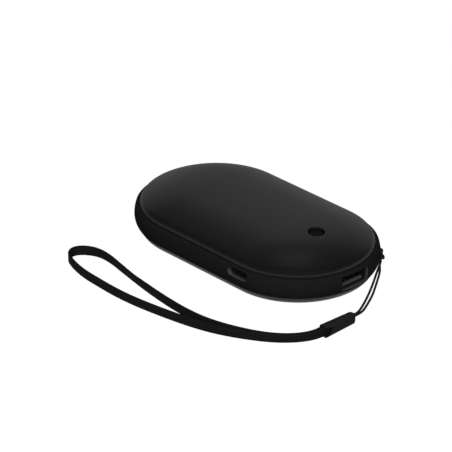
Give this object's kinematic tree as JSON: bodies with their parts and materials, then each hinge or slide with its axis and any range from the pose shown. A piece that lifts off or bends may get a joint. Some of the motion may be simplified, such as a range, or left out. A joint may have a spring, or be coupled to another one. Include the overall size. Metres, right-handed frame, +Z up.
{
  "type": "rechargeable hand warmer",
  "caption": "Flat rounded rechargeable hand warmer with domed shells, a power button, charging and output sockets, and a wrist lanyard.",
  "frame": {"origin": "middle of the flat underside, on the surface that the warmer lies on", "axes": "+X along the body towards the output socket, -Y towards the charging socket, +Z up"},
  "size_m": [0.1175, 0.0921, 0.0231],
  "materials": {
    "shell_black": "satin moulded",
    "band_black": "fine matte moulded",
    "button_black": "matte moulded",
    "socket_black_metal": "black coated sheet",
    "socket_grey_plastic": "moulded insulator",
    "socket_black_plastic": "moulded insulator",
    "contact_gold": "thin plated",
    "board_green": "solder mask",
    "component_black": "moulded package",
    "capacitor_tan": "ceramic",
    "led_clear": "clear lens",
    "screw_steel": "zinc plated",
    "cell_foil": "foil pouch",
    "heater_amber": "polyimide film",
    "foam_grey": "closed-cell foam",
    "lead_red": "silicone sleeve",
    "lead_black": "silicone sleeve",
    "sensor_bead": "epoxy bead",
    "cord_black": "braided",
    "strap_black": "woven",
    "ferrule_black": "fine texture"
  },
  "bodies": {
    "housing": {"top_shell": "shell_black", "bottom_shell": "shell_black", "middle_frame": "band_black", "switch_body": "component_black", "main_board": "board_green", "board_screws": "screw_steel", "output_socket_shell": "socket_black_metal", "output_socket_tongue": "socket_grey_plastic", "output_socket_contacts": "contact_gold", "charge_socket_shell": "socket_black_metal", "charge_socket_tongue": "socket_black_plastic", "charge_socket_contacts": "contact_gold", "controller_chip": "component_black", "boost_inductor": "component_black", "heater_transistors": "component_black", "filter_capacitors": "capacitor_tan", "status_led": "led_clear", "battery_cell": "cell_foil", "battery_protection_board": "board_green", "battery_lead_red": "lead_red", "battery_lead_black": "lead_black", "top_heater_film": "heater_amber", "bottom_heater_film": "heater_amber", "top_heater_leads": "lead_black", "bottom_heater_leads": "lead_black", "thermistor": "sensor_bead", "top_insulation": "foam_grey", "bottom_insulation": "foam_grey", "lanyard_cord": "cord_black", "lanyard_ferrule": "ferrule_black", "wrist_strap": "strap_black"},
    "button": {"power_button": "button_black", "switch_plunger": "component_black"}
  },
  "joints": [
    {"name": "button_press", "type": "slide", "parent": "housing", "child": "button", "axis": [0, 0, -1], "range_m": [0, 0.0004], "stiffness_N_per_m": 800}
  ]
}
